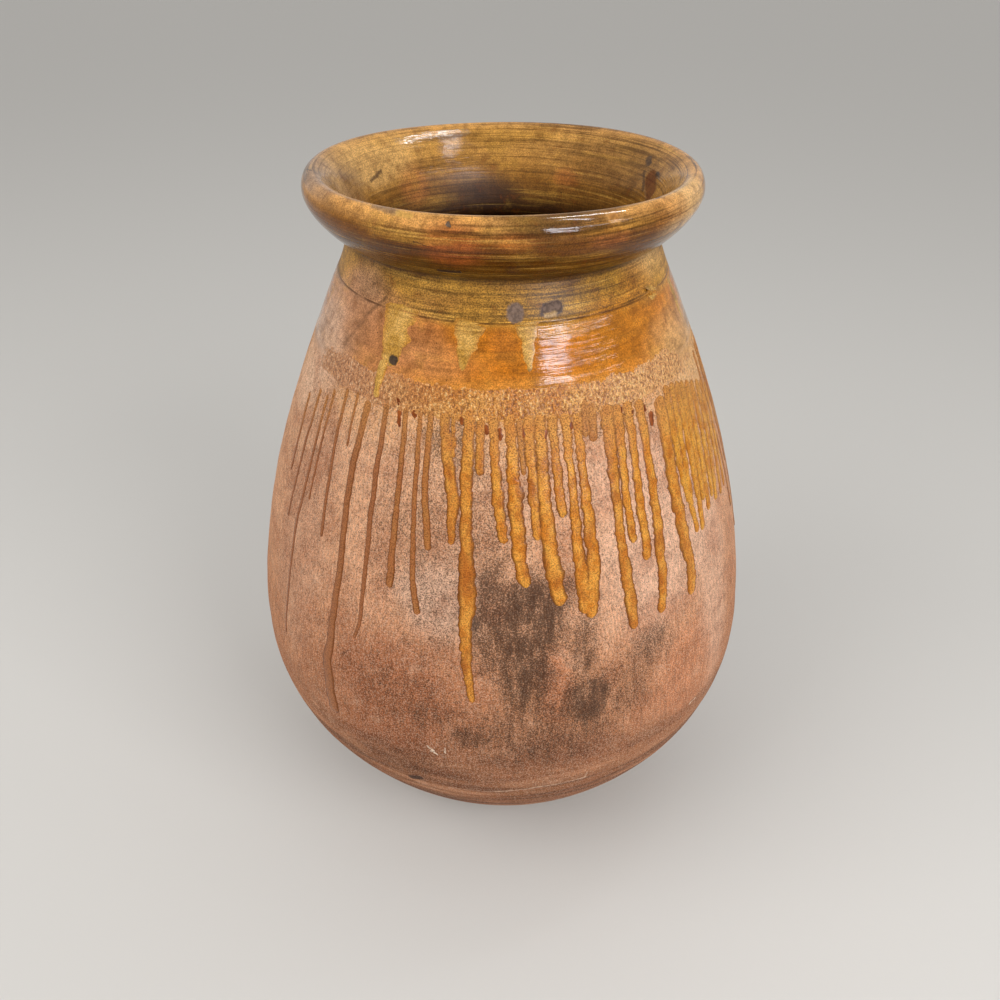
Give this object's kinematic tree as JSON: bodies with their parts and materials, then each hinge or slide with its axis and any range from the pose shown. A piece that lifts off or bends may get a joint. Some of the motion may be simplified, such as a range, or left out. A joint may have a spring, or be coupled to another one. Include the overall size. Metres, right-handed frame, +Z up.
{
  "type": "glazed terracotta jar",
  "caption": "Tall round-bellied terracotta oil jar with a narrow flat foot, a short waisted neck and a wide flared rim, glazed inside and over the shoulder.",
  "frame": {"origin": "centre of the foot, at floor level", "axes": "+Z up along the jar's axis; the side that the picture shows faces -Y; +X to its right"},
  "size_m": [0.5999, 0.6, 0.806],
  "materials": {
    "glazed_clay": "olive-honey lead glaze on the rim, inside, neck and shoulder, amber glaze runs over the belly, bare smoked terracotta below"
  },
  "bodies": {
    "root": {"pot": "glazed_clay"}
  },
  "joints": []
}
